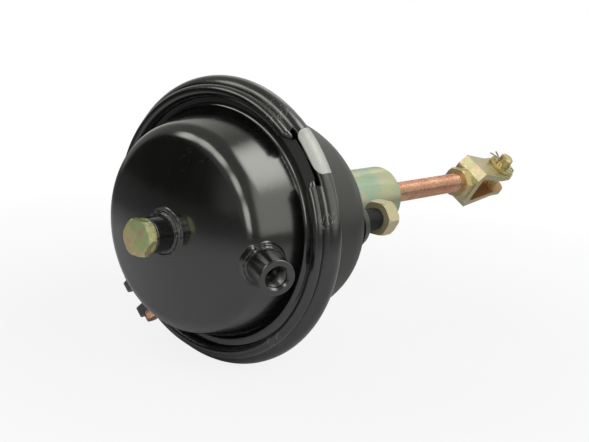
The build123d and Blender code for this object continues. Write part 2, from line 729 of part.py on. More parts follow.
# Split pin: two legs side by side through the pin, an eye at one end and splayed tips
COTTER_PLANE = Plane(across_pin(COTTER_HEIGHT).origin, x_dir=EAR_DIR, z_dir=-PIN_DIR)
leg_out = COTTER_R - COTTER_LEG_R
eye_start = PIN_R + COTTER_LEG_R
with BuildPart() as cotter_pin:
    with BuildLine(COTTER_PLANE) as cotter_path:
        Polyline((-COTTER_REACH, COTTER_SPLAY), (-PIN_R - COTTER_R, leg_out), (eye_start, leg_out))
        ThreePointArc((eye_start, leg_out), (eye_start + 2 * COTTER_EYE_R, 0),
                      (eye_start, -leg_out))
        Polyline((eye_start, -leg_out), (-PIN_R - COTTER_R, -leg_out),
                 (-COTTER_REACH, -COTTER_SPLAY))
    with BuildSketch(Plane(origin=cotter_path.line @ 0, z_dir=cotter_path.line % 0)):
        Circle(COTTER_LEG_R)
    sweep(transition=Transition.ROUND)
finish(cotter_pin.part, "cotter_pin")
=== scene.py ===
import math

import bpy
from mathutils import Matrix, Vector
from mathutils.bvhtree import BVHTree


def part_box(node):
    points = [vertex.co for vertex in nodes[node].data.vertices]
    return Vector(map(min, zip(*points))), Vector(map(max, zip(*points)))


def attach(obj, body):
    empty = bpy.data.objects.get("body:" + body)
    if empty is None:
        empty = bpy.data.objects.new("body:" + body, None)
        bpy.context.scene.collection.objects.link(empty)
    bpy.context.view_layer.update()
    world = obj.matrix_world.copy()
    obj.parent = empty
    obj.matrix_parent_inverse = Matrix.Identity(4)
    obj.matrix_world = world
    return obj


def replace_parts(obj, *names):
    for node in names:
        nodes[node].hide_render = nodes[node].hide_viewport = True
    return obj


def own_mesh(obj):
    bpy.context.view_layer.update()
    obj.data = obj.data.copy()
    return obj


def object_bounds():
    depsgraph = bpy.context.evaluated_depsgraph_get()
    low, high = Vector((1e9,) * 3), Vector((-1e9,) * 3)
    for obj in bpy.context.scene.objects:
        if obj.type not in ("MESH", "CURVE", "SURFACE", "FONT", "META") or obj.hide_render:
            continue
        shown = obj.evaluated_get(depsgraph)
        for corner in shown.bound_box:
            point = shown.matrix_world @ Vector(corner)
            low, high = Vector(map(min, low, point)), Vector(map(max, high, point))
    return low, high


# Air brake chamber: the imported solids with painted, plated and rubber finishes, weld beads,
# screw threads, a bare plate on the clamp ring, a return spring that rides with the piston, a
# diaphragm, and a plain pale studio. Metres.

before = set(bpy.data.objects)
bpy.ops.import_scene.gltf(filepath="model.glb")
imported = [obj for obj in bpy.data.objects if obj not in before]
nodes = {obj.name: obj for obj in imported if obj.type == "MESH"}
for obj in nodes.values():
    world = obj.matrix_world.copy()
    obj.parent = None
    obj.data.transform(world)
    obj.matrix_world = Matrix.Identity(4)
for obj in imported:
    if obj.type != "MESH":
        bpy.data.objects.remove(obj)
cad_low, cad_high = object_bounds()

# ---------------------------------------------------------------- places, as in the solids
CLAMP_R = 0.103
SPLIT_X = -0.0695                # middle plane of the diaphragm's bead
FLANGE_CONE = math.radians(20.5)
CREST_HALF = 0.0057              # half of the clamp ring's crest, to its sharp corners
PORT_TILT = math.radians(26.5)   # side port, towards the front
PORT_TURN = math.radians(8.0)    # side port, downwards from the near stud
PORT_FOOT = (-0.1086, 0.0744)    # its station and radius where it leaves the cup
PORT_REACH = 0.0213              # from there to the boss's end face
CUP_TOP_X = -0.1295              # cup's face, where the centre boss stands
BOSS_R = 0.0125
STUD_HALF = 0.060325             # half the spacing of the studs
PIVOT = Vector((-0.0915, 0, 0))  # centre of the push rod's ball
DROOP = math.radians(1.156)      # how far the rod hangs below the axis
ROD_DIR = Vector((math.cos(DROOP), 0, -math.sin(DROOP)))
ROD_UP = Vector((math.sin(DROOP), 0, math.cos(DROOP)))
NEAR = Vector((0, -1, 0))
FRONT = Vector((-1, 0, 0))
CLEVIS_TURN = math.radians(32.5)  # clevis pin, from upright towards the near side
PIN_DIR = ROD_UP * math.cos(CLEVIS_TURN) + NEAR * math.sin(CLEVIS_TURN)


def on_rod(x):
    """Point on the push rod's axis at station x."""
    return PIVOT + ROD_DIR * (x - PIVOT.x)


def radial(turn):
    """Unit vector across the chamber's axis, turned from the near stud downwards."""
    return Vector((0, -math.cos(turn), -math.sin(turn)))


def spoke(side, other, turn):
    """Unit vector at this turn from one direction towards another square to it."""
    return side * math.cos(turn) + other * math.sin(turn)


def add_object(name, data):
    """Put a new object into the scene."""
    made = bpy.data.objects.new(name, data)
    bpy.context.scene.collection.objects.link(made)
    return made


PORT_DIR = radial(PORT_TURN) * math.cos(PORT_TILT) + FRONT * math.sin(PORT_TILT)
PORT_BASE = radial(PORT_TURN) * PORT_FOOT[1] + Vector((PORT_FOOT[0], 0, 0))
CENTRE_BASE = Vector((CUP_TOP_X, 0, 0))


# ---------------------------------------------------------------- node trees
MIX_SHARE = 0                    # sockets of a Mix node that mixes colours
MIX_COLORS = (6, 7)
MIX_RESULT = 2
SPECK_CORE = 0.6                 # share of a speck's size at its full value
NO_TURN = (0, 0, 0)
EVEN = (1, 1, 1)


def grey(level):
    """Neutral colour of this brightness."""
    return (level, level, level)


class Shading:
    """Short calls that add nodes to one node tree."""

    def __init__(self, tree):
        self.tree = tree

    def feed(self, socket, value):
        """Link an output to a socket, or set its value."""
        if isinstance(value, bpy.types.NodeSocket):
            self.tree.links.new(value, socket)
        else:
            socket.default_value = value

    def node(self, kind, **inputs):
        """Add a node; an underscore stands for the space in an input's name."""
        made = self.tree.nodes.new(kind)
        for socket, value in inputs.items():
            self.feed(made.inputs[socket.replace("_", " ")], value)
        return made

    def ramp(self, value, low, high, curve="LINEAR"):
        """Value mapped from (in, out) to (in, out), held at both ends."""
        made = self.node("ShaderNodeMapRange", Value=value, From_Min=low[0], From_Max=high[0],
                         To_Min=low[1], To_Max=high[1])
        made.interpolation_type = curve
        return made.outputs["Result"]

    def calc(self, a, b, operation="MULTIPLY"):
        """One step of arithmetic, a product unless told otherwise."""
        made = self.node("ShaderNodeMath")
        made.operation = operation
        self.feed(made.inputs[0], a)
        self.feed(made.inputs[1], b)
        return made.outputs[0]

    def vector(self, operation, a, b=(0, 0, 0)):
        """Node for one step of arithmetic on vectors."""
        made = self.node("ShaderNodeVectorMath")
        made.operation = operation
        self.feed(made.inputs[0], a)
        self.feed(made.inputs[1], b)
        return made

    def mix(self, share, *colors):
        """Colour between two, each a colour or an output."""
        made = self.node("ShaderNodeMix")
        made.data_type = "RGBA"
        self.feed(made.inputs[MIX_SHARE], share)
        for socket, color in zip(MIX_COLORS, colors):
            fixed = not isinstance(color, bpy.types.NodeSocket)
            self.feed(made.inputs[socket], (*color, 1) if fixed else color)
        return made.outputs[MIX_RESULT]

    def blend(self, share, before, after):
        """Node for the shader between the shaders of two nodes."""
        made = self.node("ShaderNodeMixShader", Fac=share)
        self.feed(made.inputs[1], before.outputs[0])
        self.feed(made.inputs[2], after.outputs[0])
        return made


class Finish(Shading):
    """One Principled material and short calls for the patterns that vary it."""

    def __init__(self, name, color, roughness, metallic=0.0, **sockets):
        self.material = bpy.data.materials.new(name)
        self.material.use_nodes = True
        self.material.diffuse_color = (*color, 1)
        super().__init__(self.material.node_tree)
        self.shader = self.tree.nodes["Principled BSDF"]
        self.place = self.node("ShaderNodeTexCoord").outputs["Object"]
        self.normal = None
        self.set("Base Color", (*color, 1))
        self.set("Roughness", roughness)
        self.set("Metallic", metallic)
        for socket, value in sockets.items():
            self.set(socket.replace("_", " "), value)

    def set(self, socket, value):
        """Give one of the shader's sockets a value or an output."""
        self.feed(self.shader.inputs[socket], value)

    def noise(self, pattern, stretch=None):
        """Noise of this scale, detail and roughness, with this scale and turn of its space."""
        place = self.place
        if stretch:
            scale, turn = stretch
            mapping = self.node("ShaderNodeMapping", Vector=place, Scale=scale, Rotation=turn)
            place = mapping.outputs["Vector"]
        made = self.node("ShaderNodeTexNoise", Vector=place, Scale=pattern[0], Detail=pattern[1],
                         Roughness=pattern[2])
        return made.outputs["Fac"]

    def specks(self, scale, size):
        """1 in small round specks, 0 between them."""
        made = self.node("ShaderNodeTexVoronoi", Vector=self.place, Scale=scale)
        return self.ramp(made.outputs["Distance"], (size * SPECK_CORE, 1), (size, 0))

    def rougher(self, value, roughness, factors):
        """Roughness that a pattern varies from (in, factor) to (in, factor)."""
        (low, least), (high, most) = factors
        return self.ramp(value, (low, roughness * least), (high, roughness * most))

    def bump(self, height, distance):
        """Add a height map, this many metres high, to those before it."""
        made = self.node("ShaderNodeBump", Height=height, Strength=1, Distance=distance)
        if self.normal is not None:
            self.feed(made.inputs["Normal"], self.normal)
        self.normal = made.outputs["Normal"]
        self.set("Normal", self.normal)

    def along(self, origin, axis):
        """How far the surface lies from a point, measured along an axis."""
        offset = self.vector("SUBTRACT", self.place, origin).outputs["Vector"]
        return self.vector("DOT_PRODUCT", offset, axis).outputs["Value"]


# ---------------------------------------------------------------- finishes
# A noise is its scale, detail and roughness, a stretch its scale and turn, and a ramp two pairs
# of what goes in and what comes out. In a gloss, what comes out is a factor on the roughness.
COAT_ROUGHNESS = 0.12
SMEARS = (26, 4, 0.6)
SMEAR_STRETCH = ((1, 1.6, 0.8), NO_TURN)
SMEAR_RAMP = ((0.35, 0), (0.7, 1))
SMEAR_GLOSS = ((0.3, 0.8), (0.75, 1.35))
SMEAR_FACTOR = 1.5               # how a smear lightens the paint
SMEAR_LIFT = 0.001
DUST_SPECKS = (620, 0.13)        # scale and size
DUST_AREAS = (70, 2, 0.55)
DUST_RAMP = ((0.56, 0), (0.66, 1))
DUST_SHARE = 0.7
DUST_GREY = (0.34, 0.33, 0.31)
DUST_ROUGHNESS = 0.3
SCRATCHES = (34, 2, 0.5)
SCRATCH_STRETCH = ((2.5, 40, 9), (0.5, 0.3, 0.9))
SCRATCH_RAMP = ((0.69, 0), (0.72, 1))
SCRATCH_AREAS = (18, 1, 0.55)
SCRATCH_AREA_RAMP = ((0.5, 0), (0.62, 0.5))
SCRATCH_SHARE = 0.5
SCRATCH_GREY = grey(0.10)
SCRAPES = (260, 3, 0.7)
SCRAPE_STRETCH = ((1, 3.5, 0.8), (0.4, 0.2, 0.9))
SCRAPE_RAMP = ((0.55, 0), (0.63, 1))
SCRAPE_GREY = (0.26, 0.26, 0.25)
SCUFF_CORE = 0.4                 # share of a scuff's reach at its full depth
SCUFF_DEPTH = 0.8
FINE_PEEL = (430, 2, 0.55)
BROAD_PEEL = (60, 2, 0.55)
BROAD_PEEL_FACTOR = 2.5          # its height against the fine peel's
FIRST_DRIFT = (2, 0.5)           # detail and roughness of the drift to a plating's second tint
FIRST_RAMP = ((0.42, 0), (0.60, 1))
SECOND_DRIFT = (3, 0.6)          # and to its third, at a finer scale
SECOND_SWIRL = 1.7
SECOND_STRETCH = (EVEN, (1.1, 0.4, 0.2))
SECOND_RAMP = ((0.52, 0), (0.68, 0.8))
PLATE_STAINS = (240, 4, 0.7)
PLATE_STAIN_RAMP = ((0.60, 0), (0.74, 0.45))
PLATE_STAIN_SHADE = 0.5
BRUSHED = (300, 4, 0.6)
BRUSH_GLOSS = ((0.3, 0.8), (0.7, 1.3))
BRUSH_HEIGHT = 0.00004
TOOTH = (900, 2, 0.55)
TOOTH_HEIGHT = 0.00002
# Painted shade: a darker brown tint fills the clevis's slot, from its root to its end.
SLOT_START = (0.2475, 0.0130)    # station and half height of the clevis's slot at its root
SLOT_END = (0.2830, 0.0065)
SLOT_BLUR = 0.0006               # how softly the painted shade ends at the slot's walls and its root
ROOT_BLUR = 0.001
SLOT_SHADE_SHARE = 0.85
BLOOM = (90, 4, 0.6)
BLOOM_RAMP = ((0.45, 0), (0.7, 0.7))
BLOOM_GREY = (0.075, 0.072, 0.068)
BLOOM_ROUGHNESS = ((0.3, 0.5), (0.7, 0.75))
RUBBER_ROUGHNESS = 0.62
PEBBLE = (1500, 3, 0.55)
PEBBLE_HEIGHT = 0.00006
GRAIN_DETAIL = (4, 0.6)          # detail and roughness
GRAIN_GLOSS = ((0.3, 0.75), (0.7, 1.35))
GRAIN_HEIGHT = 0.00003
METAL_STAINS = (48, 4, 0.65)
METAL_STAIN_RAMP = ((0.5, 0), (0.75, 0.55))
METAL_STAIN_SHADE = 0.55
REFLECTION_TURN = math.radians(12)      # middle of the side with the painted dark reflection, upwards from the near side
REFLECTION_EDGE = ((0.0065, 0), (0.0078, 1))
REFLECTION_SPECKS = (760, 3, 0.75)
REFLECTION_STRETCH = ((1.7, 0.7, 0.7), NO_TURN)
REFLECTION_RAMP = ((0.42, 0.1), (0.60, 0.65))


def shaded(color, factor, lift=0.0):
    """Colour with each part times a factor, and a little added."""
    return tuple(part * factor + lift for part in color)


def black_paint(name, color, roughness, peel, coat, shine, scuffs=()):
    """Sprayed black paint: orange peel, soft smears, dust, fine scratches and a few scuffs."""
    paint = Finish(name, color, roughness, Coat_Weight=coat, Coat_Roughness=COAT_ROUGHNESS,
                   Specular_IOR_Level=shine)
    smear = paint.noise(SMEARS, SMEAR_STRETCH)
    dust = paint.calc(paint.specks(*DUST_SPECKS), paint.ramp(paint.noise(DUST_AREAS), *DUST_RAMP))
    scratch = paint.ramp(paint.noise(SCRATCHES, SCRATCH_STRETCH), *SCRATCH_RAMP)
    worn = paint.calc(scratch, paint.ramp(paint.noise(SCRATCH_AREAS), *SCRATCH_AREA_RAMP))
    tint = paint.mix(paint.ramp(smear, *SMEAR_RAMP), color, shaded(color, SMEAR_FACTOR, SMEAR_LIFT))
    tint = paint.mix(paint.calc(worn, SCRATCH_SHARE), tint, SCRATCH_GREY)
    for middle, reach in scuffs:
        scrape = paint.ramp(paint.noise(SCRAPES, SCRAPE_STRETCH), *SCRAPE_RAMP)
        away = paint.vector("DISTANCE", paint.place, middle).outputs["Value"]
        patch = paint.ramp(away, (reach * SCUFF_CORE, SCUFF_DEPTH), (reach, 0))
        tint = paint.mix(paint.calc(patch, scrape), tint, SCRAPE_GREY)
    paint.set("Base Color", paint.mix(paint.calc(dust, DUST_SHARE), tint, DUST_GREY))
    rough = paint.rougher(smear, roughness, SMEAR_GLOSS)
    paint.set("Roughness", paint.calc(rough, paint.calc(dust, DUST_ROUGHNESS), "ADD"))
    paint.bump(paint.noise(FINE_PEEL), peel)
    paint.bump(paint.noise(BROAD_PEEL), peel * BROAD_PEEL_FACTOR)
    return paint.material


def plated(name, tints, roughness, swirl=55, grain=EVEN, metallic=0.8):
    """Plating with a slow drift between three tints, stains and brush marks along its grain."""
    plate = Finish(name, tints[0], roughness, metallic)
    first = plate.noise((swirl, *FIRST_DRIFT))
    second = plate.noise((swirl * SECOND_SWIRL, *SECOND_DRIFT), SECOND_STRETCH)
    tint = plate.mix(plate.ramp(first, *FIRST_RAMP), tints[0], tints[1])
    tint = plate.mix(plate.ramp(second, *SECOND_RAMP), tint, tints[2])
    stain = plate.ramp(plate.noise(PLATE_STAINS), *PLATE_STAIN_RAMP)
    plate.tint = plate.mix(stain, tint, shaded(tints[0], PLATE_STAIN_SHADE))
    plate.set("Base Color", plate.tint)
    brushed = plate.noise(BRUSHED, (grain, NO_TURN))
    plate.set("Roughness", plate.rougher(brushed, roughness, BRUSH_GLOSS))
    plate.bump(brushed, BRUSH_HEIGHT)
    plate.bump(plate.noise(TOOTH), TOOTH_HEIGHT)
    return plate


def clevis_plate_with_slot_shade(plate, slot_shade):
    """Plated clevis with painted shade: a darker brown tint inside its slot."""
    station = plate.along(on_rod(0), ROD_DIR)
    height = plate.calc(plate.along(on_rod(0), PIN_DIR), 0, "ABSOLUTE")
    wall = plate.ramp(station, SLOT_START, SLOT_END)
    inside = plate.ramp(plate.calc(wall, height, "SUBTRACT"), (-SLOT_BLUR, 0), (0, 1))
    past_root = plate.ramp(station, (SLOT_START[0] - ROOT_BLUR, 0), (SLOT_START[0], SLOT_SHADE_SHARE))
    plate.set("Base Color", plate.mix(plate.calc(inside, past_root), plate.tint, slot_shade))
    return plate.material


def rod_with_painted_reflection(plate, dark_band):
    """Plated rod with a painted dark reflection: a speckled brown band along its near side."""
    facing = plate.along(on_rod(0), spoke(NEAR, ROD_UP, REFLECTION_TURN))
    speck = plate.ramp(plate.noise(REFLECTION_SPECKS, REFLECTION_STRETCH), *REFLECTION_RAMP)
    share = plate.calc(plate.ramp(facing, *REFLECTION_EDGE), speck)
    plate.set("Base Color", plate.mix(share, plate.tint, dark_band))
    return plate.material


def rubber(name, color):
    """Moulded black rubber with bloom and a fine pebble."""
    made = Finish(name, color, RUBBER_ROUGHNESS)
    bloom = made.noise(BLOOM)
    made.set("Base Color", made.mix(made.ramp(bloom, *BLOOM_RAMP), color, BLOOM_GREY))
    made.set("Roughness", made.ramp(bloom, *BLOOM_ROUGHNESS))
    made.bump(made.noise(PEBBLE), PEBBLE_HEIGHT)
    return made.material


def bare_metal(name, color, roughness, scale=400, metallic=1.0):
    """Turned or drawn bare metal with grain and stains."""
    made = Finish(name, color, roughness, metallic)
    grained = made.noise((scale, *GRAIN_DETAIL))
    stain = made.ramp(made.noise(METAL_STAINS), *METAL_STAIN_RAMP)
    made.set("Base Color", made.mix(stain, color, shaded(color, METAL_STAIN_SHADE)))
    made.set("Roughness", made.rougher(grained, roughness, GRAIN_GLOSS))
    made.bump(grained, GRAIN_HEIGHT)
    return made.material


RING_SCUFFS = (                  # middle and reach of the worn patches on the clamp ring
    ((-0.0770, -0.0489, 0.0848), 0.012),
    ((-0.0837, -0.0626, -0.0690), 0.010),
    ((-0.0760, -0.0960, 0.0200), 0.008),
)
GLOSS_BLACK = black_paint("gloss_black_paint", (0.0035, 0.0035, 0.0033), roughness=0.17,
                          peel=0.000006, coat=0.6, shine=1.0)
RING_BLACK = black_paint("ring_black_paint", (0.004, 0.004, 0.0038), roughness=0.22,
                         peel=0.000010, coat=0.5, shine=1.0, scuffs=RING_SCUFFS)
SATIN_BLACK = black_paint("satin_black_paint", (0.013, 0.0135, 0.0120), roughness=0.38,
                          peel=0.00002, coat=0.0, shine=0.8)
STUD_BLACK = black_paint("stud_black_paint", (0.004, 0.0042, 0.0046), roughness=0.34,
                         peel=0.00002, coat=0.0, shine=0.3)
WELD_BLACK = black_paint("weld_black_paint", grey(0.006), roughness=0.2,
                         peel=0.00005, coat=0.5, shine=1.0)

DRAWN = (0.3, 2, 2)              # stretch of brush marks that run along the axis
DRAWN_LONG = (0.12, 2, 2)
PLUG_TINTS = ((0.80, 0.70, 0.36), (0.58, 0.68, 0.34), (0.74, 0.46, 0.36))
NUT_TINTS = ((0.66, 0.57, 0.34), (0.57, 0.56, 0.32), (0.74, 0.53, 0.40))
TUBE_TINTS = ((0.50, 0.52, 0.33), (0.38, 0.49, 0.36), (0.56, 0.50, 0.38))
CLEVIS_TINTS = ((0.60, 0.53, 0.31), (0.50, 0.53, 0.31), (0.80, 0.54, 0.44))
JAM_TINTS = ((0.66, 0.50, 0.24), (0.62, 0.54, 0.28), (0.60, 0.36, 0.24))
PIN_TINTS = ((0.70, 0.56, 0.27), (0.58, 0.56, 0.28), (0.72, 0.46, 0.34))
COPPER_TINTS = ((0.74, 0.38, 0.25), (0.78, 0.47, 0.32), (0.60, 0.30, 0.21))
ROD_TINTS = ((0.76, 0.38, 0.25), (0.80, 0.47, 0.32), (0.62, 0.30, 0.21))
# painted shade inside the clevis's slot
SLOT_PAINTED_SHADE = (0.50, 0.25, 0.10)
# painted dark reflection on the rod's near side
ROD_REFLECTION_BROWN = (0.17, 0.13, 0.075)
PLUG_ZINC = plated("plug_zinc", PLUG_TINTS, roughness=0.30, swirl=75).material
NUT_ZINC = plated("nut_zinc", NUT_TINTS, roughness=0.34, metallic=0.55).material
TUBE_ZINC = plated("tube_zinc", TUBE_TINTS, roughness=0.36, swirl=38, grain=DRAWN_LONG).material
CLEVIS_ZINC = clevis_plate_with_slot_shade(plated("clevis_zinc", CLEVIS_TINTS, roughness=0.33, swirl=60), SLOT_PAINTED_SHADE)
JAM_ZINC = plated("jam_zinc", JAM_TINTS, roughness=0.32).material
PIN_ZINC = plated("pin_zinc", PIN_TINTS, roughness=0.30).material
COPPER = plated("copper_plate", COPPER_TINTS, roughness=0.30, swirl=45, grain=DRAWN).material
ROD_COPPER = rod_with_painted_reflection(plated("rod_copper", ROD_TINTS, roughness=0.27, swirl=45, grain=DRAWN),
                      ROD_REFLECTION_BROWN)

WASHER_COPPER = bare_metal("washer_copper", (0.62, 0.34, 0.22), roughness=0.4)
PISTON_STEEL = bare_metal("piston_steel", (0.50, 0.50, 0.47), roughness=0.42)
CUT_STEEL = bare_metal("cut_steel", (0.24, 0.24, 0.23), roughness=0.3)
SPRING_STEEL = bare_metal("spring_steel", (0.20, 0.20, 0.21), roughness=0.45, metallic=0.8)
COTTER_STEEL = bare_metal("cotter_steel", (0.42, 0.40, 0.33), roughness=0.36)
PLATE_SILVER = bare_metal("plate_silver", (0.56, 0.56, 0.53), roughness=0.5, scale=600,
                          metallic=0.25)
RUBBER = rubber("black_rubber", grey(0.022))

finishes = {
    "pressure_housing": GLOSS_BLACK,
    "centre_port_boss": GLOSS_BLACK,
    "side_port_boss": GLOSS_BLACK,
    "port_welds": WELD_BLACK,
    "plug_bolt": PLUG_ZINC,
    "plug_washer": WASHER_COPPER,
    "non_pressure_housing": SATIN_BLACK,
    "mounting_studs": STUD_BLACK,
    "stud_nuts": NUT_ZINC,
    "dust_ring": RUBBER,
    "clamp_ring": RING_BLACK,
    "clamp_bolt": COPPER,
    "clamp_nut": COPPER,
    "diaphragm": RUBBER,
    "piston_plate": PISTON_STEEL,
    "rod_socket": PISTON_STEEL,
    "return_spring": SPRING_STEEL,
    "push_rod": ROD_COPPER,
    "guide_tube": TUBE_ZINC,
    "tube_caps": TUBE_ZINC,
    "jam_nut": JAM_ZINC,
    "clevis": CLEVIS_ZINC,
    "clevis_pin": PIN_ZINC,
    "pin_washer": PIN_ZINC,
    "cotter_pin": COTTER_STEEL,
}
for name, material in finishes.items():
    nodes[name].data.materials.clear()
    nodes[name].data.materials.append(material)


# ---------------------------------------------------------------- detail pieces
WELD_STEPS = 240
WELD_COLUMNS = 14
WELD_TUCK = 0.0004              # inner edge of a weld inside its boss
WELD_SINK = 0.0008              # underside of a weld inside the sheet
WELD_HEIGHT = 0.0031
WELD_SWELL = 0.8                # below 1, a weld's section is fuller than a cosine
WELD_WANDER = 0.00030
WELD_WAVES = ((3, 1, 1.0), (8, 2, 0.6))     # waves a turn, shift and share of the wander
WELD_RIPPLES = 19
WELD_RIPPLE = 0.00014
WELD_CRESCENT = 9.0
WELD_PASSES = 2
WELD_PASS = 0.00062             # height of the step between the weld's passes
CENTRE_WELD_R = 0.0176
SIDE_WELD_R = 0.0162
PITCH = 0.0015
THREAD_STEPS = 28
THREAD_FOOT = 0.46              # half widths of a ridge, as shares of the pitch
THREAD_TIP = 0.07
SHANK_RADII = (0.0079, 0.00825)  # foot and crest of the ridge on the rod and the studs' shanks
TIP_RADII = (0.0073, 0.0080)    # on the studs' ends
BORE_RADII = (0.0073, 0.00675)  # in the side port
ROD_THREAD = (0.118, 0.2284)    # along the rod
STUD_SHANK = (0.006, 0.0275)    # from the mounting face
STUD_TIP = (0.0419, 0.0432)
PORT_THREAD = (-0.0150, -0.0019)  # from the boss's end face
RING_CORNER_R = 0.0078
RING_CORNER_MIDDLE_R = CLAMP_R - RING_CORNER_R
RING_ARC = math.radians(90) - FLANGE_CONE   # how far a corner of the ring bends
RING_FLAT = CREST_HALF - RING_CORNER_R * math.tan(RING_ARC / 2)
BEAD_R = 0.0042
BEAD_MIDDLE = (-0.0795, 0.0930)  # station and radius
RELIEF_TURN = math.radians(-37.8)
RELIEF_SPAN = math.radians(33)
BAND_TUCK = math.radians(0.4)   # each end of the band inside the ring
BAND_BACK = math.radians(16)    # where the ring's own crest goes on
BAND_LEAN = math.radians(52)    # where the band's front edge lies
BAND_FLARE = math.radians(26)   # how much further it reaches at the relief's ends
BAND_BLEND = math.radians(6)    # over this much of the turn
BAND_INSET = 0.00005            # depth of its outside under the ring's
BAND_SHEET = 0.0024
BAND_STEPS = 90
BAND_COLUMNS = 16
LIP_COLUMNS = 6
TAB_TURN = math.radians(-39)    # small tab on the band's front edge
TAB_WIDE = math.radians(3.6)
TAB_REACH = math.radians(18)
TAB_SQUARE = 4                  # power that squares off the tab's shoulders
NOSE_TUCK = math.radians(1)
NOSE_SPAN = math.radians(7)
NOSE_TAPER = 0.98
NOSE_RISE = (0.0014, 0.0022)    # nose's tip from the bead's middle, back and outwards
NOSE_STEPS = 24
NOSE_COLUMNS = 28
PLATE_TURNS = (math.radians(-48.2), math.radians(-28.9))
PLATE_CORNERS = (math.radians(3.6), math.radians(6.0))  # how far its rounded ends reach
PLATE_BACK = math.radians(38)
PLATE_WRAP = math.radians(105)
PLATE_THICK = 0.00025
PLATE_ROUND = 0.42              # share of the plate's width that its corners take
PLATE_STEPS = 80
PLATE_COLUMNS = 20
WIRE_R = 0.0024
WIRE_SIDES = 14
SPRING_START_R = 0.034
SPRING_END_R = 0.040
SPRING_TURNS = 5
SPRING_STEPS = 48
SPRING_CLOSED = 0.08            # share of the wire that lies flat at each end


def piece(name, rows, material, body, ends, smooth=True):
    """Skin over rows of points, each row a closed loop.

    With ends, the first and last rows are closed flat. Without, the last row joins the first.
    """
    count = len(rows[0])
    points = [point for row in rows for point in row]
    spans = len(rows) - 1 if ends else len(rows)
    faces = []
    for row in range(spans):
        here, after = row * count, (row + 1) % len(rows) * count
        for column in range(count):
            beside = (column + 1) % count
            faces.append((here + column, here + beside, after + beside, after + column))
    if ends:
        faces.append(tuple(reversed(range(count))))
        faces.append(tuple(range(spans * count, len(points))))
    made = add_object(name, bpy.data.meshes.new(name))
    made.data.from_pydata(points, [], faces)
    made.data.polygons.foreach_set("use_smooth", [smooth] * len(faces))
    made.data.materials.append(material)
    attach(made, body)
    return made


def surface(node):
    """Skin of a CAD node, for rays to be cast at."""
    mesh = nodes[node].data
    return BVHTree.FromPolygons([vertex.co for vertex in mesh.vertices],
                                [tuple(face.vertices) for face in mesh.polygons])


def across(axis):
    """Two unit vectors square to an axis and to each other."""
    side = axis.orthogonal().normalized()
    return side, axis.cross(side)


def round_row(middle, side, other, reach, count):
    """Points on a circle round a middle, from one direction towards another."""
    turns = (2 * math.pi * step / count for step in range(count))
    return [middle + spoke(side, other, turn) * reach for turn in turns]


def weld_bead(name, base, axis, outer_r):
    """Rippled ring of weld metal round a boss, seated on the cup all the way round."""
    side, other = across(axis)
    rows = []
    for step in range(WELD_STEPS):
        turn = 2 * math.pi * step / WELD_STEPS
        out = spoke(side, other, turn)
        wander = WELD_WANDER * sum(part * math.sin(waves * turn + shift)
                                   for waves, shift, part in WELD_WAVES)
        row = []
        for column in range(WELD_COLUMNS + 1):
            share = column / WELD_COLUMNS
            radius = BOSS_R - WELD_TUCK + share * (outer_r + wander - BOSS_R + WELD_TUCK)
            seat = cup_skin.ray_cast(base + out * radius + axis * PORT_REACH, -axis)[0]
            scallop = math.sin(WELD_RIPPLES * turn + WELD_CRESCENT * (share - 0.5) ** 2)
            step_down = math.sin(2 * math.pi * WELD_PASSES * share)
            height = WELD_HEIGHT * math.cos(share * math.pi / 2) ** WELD_SWELL
            relief = WELD_RIPPLE * scallop + WELD_PASS * step_down
            row.append(seat + axis * (height + relief * math.sin(math.pi * share)))
        row.append(seat - axis * WELD_SINK)
        row.append(row[0] - axis * (WELD_HEIGHT + WELD_SINK))
        rows.append(row)
    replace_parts(piece(name, rows, WELD_BLACK, "chamber", ends=False), "port_welds")


def thread(name, origin, axis, stretch, radii, material, body, smooth=False):
    """Helical ridge on a shank or in a bore, running out to nothing at both ends."""
    side, other = across(axis)
    length = stretch[1] - stretch[0]
    turns = length / PITCH
    count = round(turns * THREAD_STEPS)
    base_r, crest_r = radii
    rows = []
    for step in range(count + 1):
        out = spoke(side, other, 2 * math.pi * turns * step / count)
        fade = min(1, (step + 1) / THREAD_STEPS, (count + 1 - step) / THREAD_STEPS)
        crest = base_r + (crest_r - base_r) * fade
        middle = origin + axis * (stretch[0] + length * step / count)
        section = ((-THREAD_FOOT, base_r), (-THREAD_TIP, crest),
                   (THREAD_TIP, crest), (THREAD_FOOT, base_r))
        rows.append([middle + axis * (shift * PITCH) + out * radius for shift, radius in section])
    piece(name, rows, material, body, ends=True, smooth=smooth)


def ring_place(turn, lean, depth):
    """Point this deep under the clamp ring's outside, leaning from its crest towards the rod."""
    arc = min(abs(lean), RING_ARC)
    down = (abs(lean) - arc) * RING_CORNER_R
    reach = RING_CORNER_R - depth
    station = RING_FLAT + reach * math.sin(arc) + down * math.sin(FLANGE_CONE)
    radius = RING_CORNER_MIDDLE_R + reach * math.cos(arc) - down * math.cos(FLANGE_CONE)
    return radial(turn) * radius + Vector((SPLIT_X + math.copysign(station, lean), 0, 0))


def band_edge(turn):
    """How far the ring's front reaches down over the relief at this turn."""
    tab = math.exp(-((turn - TAB_TURN) / TAB_WIDE) ** TAB_SQUARE)
    ends = max(0, abs(turn - RELIEF_TURN) - RELIEF_SPAN / 2 + BAND_BLEND) / BAND_BLEND
    return BAND_LEAN + TAB_REACH * tab + BAND_FLARE * ends ** 2


